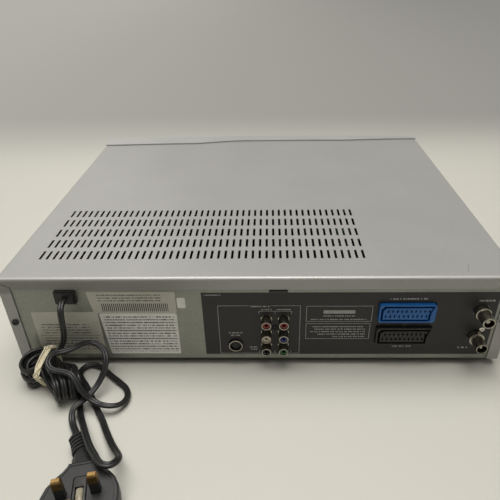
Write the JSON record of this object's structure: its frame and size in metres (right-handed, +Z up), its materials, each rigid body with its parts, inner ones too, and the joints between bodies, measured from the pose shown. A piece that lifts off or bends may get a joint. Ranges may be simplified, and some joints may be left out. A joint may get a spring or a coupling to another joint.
{
  "type": "dvd vcr combo player",
  "caption": "Flat silver player for discs and video cassettes, seen from its socketed rear, with vents, a disc tray, a cassette door and a bundled mains lead with its plug.",
  "frame": {"origin": "under the middle of the player, at the height of what its feet stand on", "axes": "+Z up, +Y towards the rear panel with the sockets, +X towards the mains lead"},
  "size_m": [0.43, 0.5275, 0.0981],
  "materials": {
    "cover_paint": "satin silver paint",
    "zinc": "zinc-plated sheet",
    "front_paint": "silver-painted plastic",
    "window": "dark tinted",
    "black_plastic": "moulded",
    "grey_plastic": "moulded",
    "white_plastic": "moulded",
    "rubber": "matt",
    "dark_screw": "blackened",
    "nickel": "nickel-plated",
    "steel": "plain",
    "aluminium": "turned",
    "brass": "plain",
    "blue_plastic": "moulded",
    "red_plastic": "moulded",
    "cream_plastic": "moulded",
    "green_plastic": "moulded",
    "violet_plastic": "moulded",
    "circuit_board": "lacquered",
    "green_board": "lacquered",
    "cord_sheath": "soft sheath",
    "rubber_band": "matt"
  },
  "bodies": {
    "case": {"top_cover": "cover_paint", "base_pan": "zinc", "rear_panel": "zinc", "front_panel": "front_paint", "display_window": "window", "foot_front_left": "rubber", "foot_rear_left": "rubber", "foot_front_right": "rubber", "foot_rear_right": "rubber", "cover_screw_left": "dark_screw", "cover_screw_right": "dark_screw", "front_board": "circuit_board", "cord_bush": "black_plastic", "s_video_socket": "black_plastic", "jack_block": "black_plastic", "jack_barrels": "nickel", "jack_red": "red_plastic", "jack_white": "cream_plastic", "jack_black": "black_plastic", "jack_red_right": "red_plastic", "jack_blue": "violet_plastic", "jack_green": "green_plastic", "scart_lower": "black_plastic", "scart_upper": "blue_plastic", "tuner_module": "steel", "aerial_input": "nickel", "aerial_output": "nickel", "main_board": "green_board", "power_board": "circuit_board", "power_transformer": "grey_plastic", "deck_chassis": "steel", "loader_frame": "black_plastic", "mains_lead_drop": "cord_sheath", "mains_lead_hank": "cord_sheath", "mains_lead_tail": "cord_sheath", "lead_band": "rubber_band", "plug_body": "grey_plastic", "earth_pin": "brass", "line_pin": "brass", "neutral_pin": "brass", "fuse_cover": "black_plastic"},
    "cassette_door": {"cassette_door": "front_paint"},
    "power_button": {"power_button": "front_paint"},
    "eject_button": {"eject_button": "front_paint"},
    "play_button": {"play_button": "front_paint"},
    "stop_button": {"stop_button": "front_paint"},
    "open_close_button": {"open_close_button": "front_paint"},
    "head_drum": {"head_drum": "aluminium"},
    "supply_reel": {"supply_reel": "black_plastic"},
    "takeup_reel": {"takeup_reel": "black_plastic"},
    "capstan": {"capstan": "steel"},
    "pinch_roller": {"pinch_roller": "rubber"},
    "cassette_carriage": {"cassette_carriage": "steel"},
    "tray_gear": {"tray_gear": "white_plastic"},
    "traverse_frame": {"traverse_frame": "steel"},
    "turntable": {"turntable": "black_plastic"},
    "pickup_sled": {"pickup_sled": "grey_plastic"},
    "disc_clamp": {"disc_clamp": "white_plastic"},
    "tray": {"disc_tray": "grey_plastic", "tray_front": "front_paint"}
  },
  "joints": [
    {"name": "cassette_door_hinge", "type": "hinge", "parent": "case", "child": "cassette_door", "pos_m": [-0.107, -0.1737, 0.0856], "axis": [1, 0, 0], "range_deg": [0, 75], "stiffness_Nm_per_rad": 0.01, "springref_deg": -28.65},
    {"name": "power_button_press", "type": "slide", "parent": "case", "child": "power_button", "axis": [0, 1, 0], "range_m": [0, 0.0012], "stiffness_N_per_m": 300, "springref_m": -0.0004},
    {"name": "eject_button_press", "type": "slide", "parent": "case", "child": "eject_button", "axis": [0, 1, 0], "range_m": [0, 0.0012], "stiffness_N_per_m": 300, "springref_m": -0.0004},
    {"name": "play_button_press", "type": "slide", "parent": "case", "child": "play_button", "axis": [0, 1, 0], "range_m": [0, 0.0012], "stiffness_N_per_m": 300, "springref_m": -0.0004},
    {"name": "stop_button_press", "type": "slide", "parent": "case", "child": "stop_button", "axis": [0, 1, 0], "range_m": [0, 0.0012], "stiffness_N_per_m": 300, "springref_m": -0.0004},
    {"name": "open_close_button_press", "type": "slide", "parent": "case", "child": "open_close_button", "axis": [0, 1, 0], "range_m": [0, 0.0012], "stiffness_N_per_m": 300, "springref_m": -0.0004},
    {"name": "head_drum_spin", "type": "hinge", "parent": "case", "child": "head_drum", "pos_m": [-0.107, 0.0005, 0.027], "axis": [0, -0.0976, 0.9952], "continuous": true},
    {"name": "supply_reel_spin", "type": "hinge", "parent": "case", "child": "supply_reel", "pos_m": [-0.153, -0.0895, 0.027], "axis": [0, 0, 1], "continuous": true},
    {"name": "takeup_reel_spin", "type": "hinge", "parent": "case", "child": "takeup_reel", "pos_m": [-0.061, -0.0895, 0.027], "axis": [0, 0, 1], "continuous": true},
    {"name": "capstan_spin", "type": "hinge", "parent": "case", "child": "capstan", "pos_m": [-0.052, -0.0195, 0.03], "axis": [0, 0, 1], "continuous": true},
    {"name": "pinch_roller_swing", "type": "hinge", "parent": "case", "child": "pinch_roller", "pos_m": [-0.024, -0.0055, 0.04], "axis": [0, 0, -1], "range_deg": [0, 38]},
    {"name": "carriage_slide", "type": "slide", "parent": "case", "child": "cassette_carriage", "axis": [0, 1, 0], "range_m": [0, 0.038]},
    {"name": "tray_slide", "type": "slide", "parent": "case", "child": "tray", "axis": [0, -1, 0], "range_m": [0, 0.142]},
    {"name": "tray_gear_turn", "type": "hinge", "parent": "case", "child": "tray_gear", "pos_m": [0.156, -0.1515, 0.059], "axis": [0, 0, 1], "range_deg": [-680, 2]},
    {"name": "traverse_lift", "type": "hinge", "parent": "case", "child": "traverse_frame", "pos_m": [0.115, -0.0115, 0.05], "axis": [-1, 0, 0], "range_deg": [0, 4.5]},
    {"name": "turntable_spin", "type": "hinge", "parent": "traverse_frame", "child": "turntable", "pos_m": [0.115, -0.1015, 0.056], "axis": [0, 0, 1], "continuous": true},
    {"name": "sled_slide", "type": "slide", "parent": "traverse_frame", "child": "pickup_sled", "axis": [0, 1, 0], "range_m": [0, 0.032]},
    {"name": "disc_clamp_spin", "type": "hinge", "parent": "case", "child": "disc_clamp", "pos_m": [0.115, -0.1015, 0.075], "axis": [0, 0, 1], "continuous": true}
  ],
  "couplings": [
    {"joint": "tray_gear_turn", "follows": "tray_slide", "rad_per_m": -83.333}
  ]
}
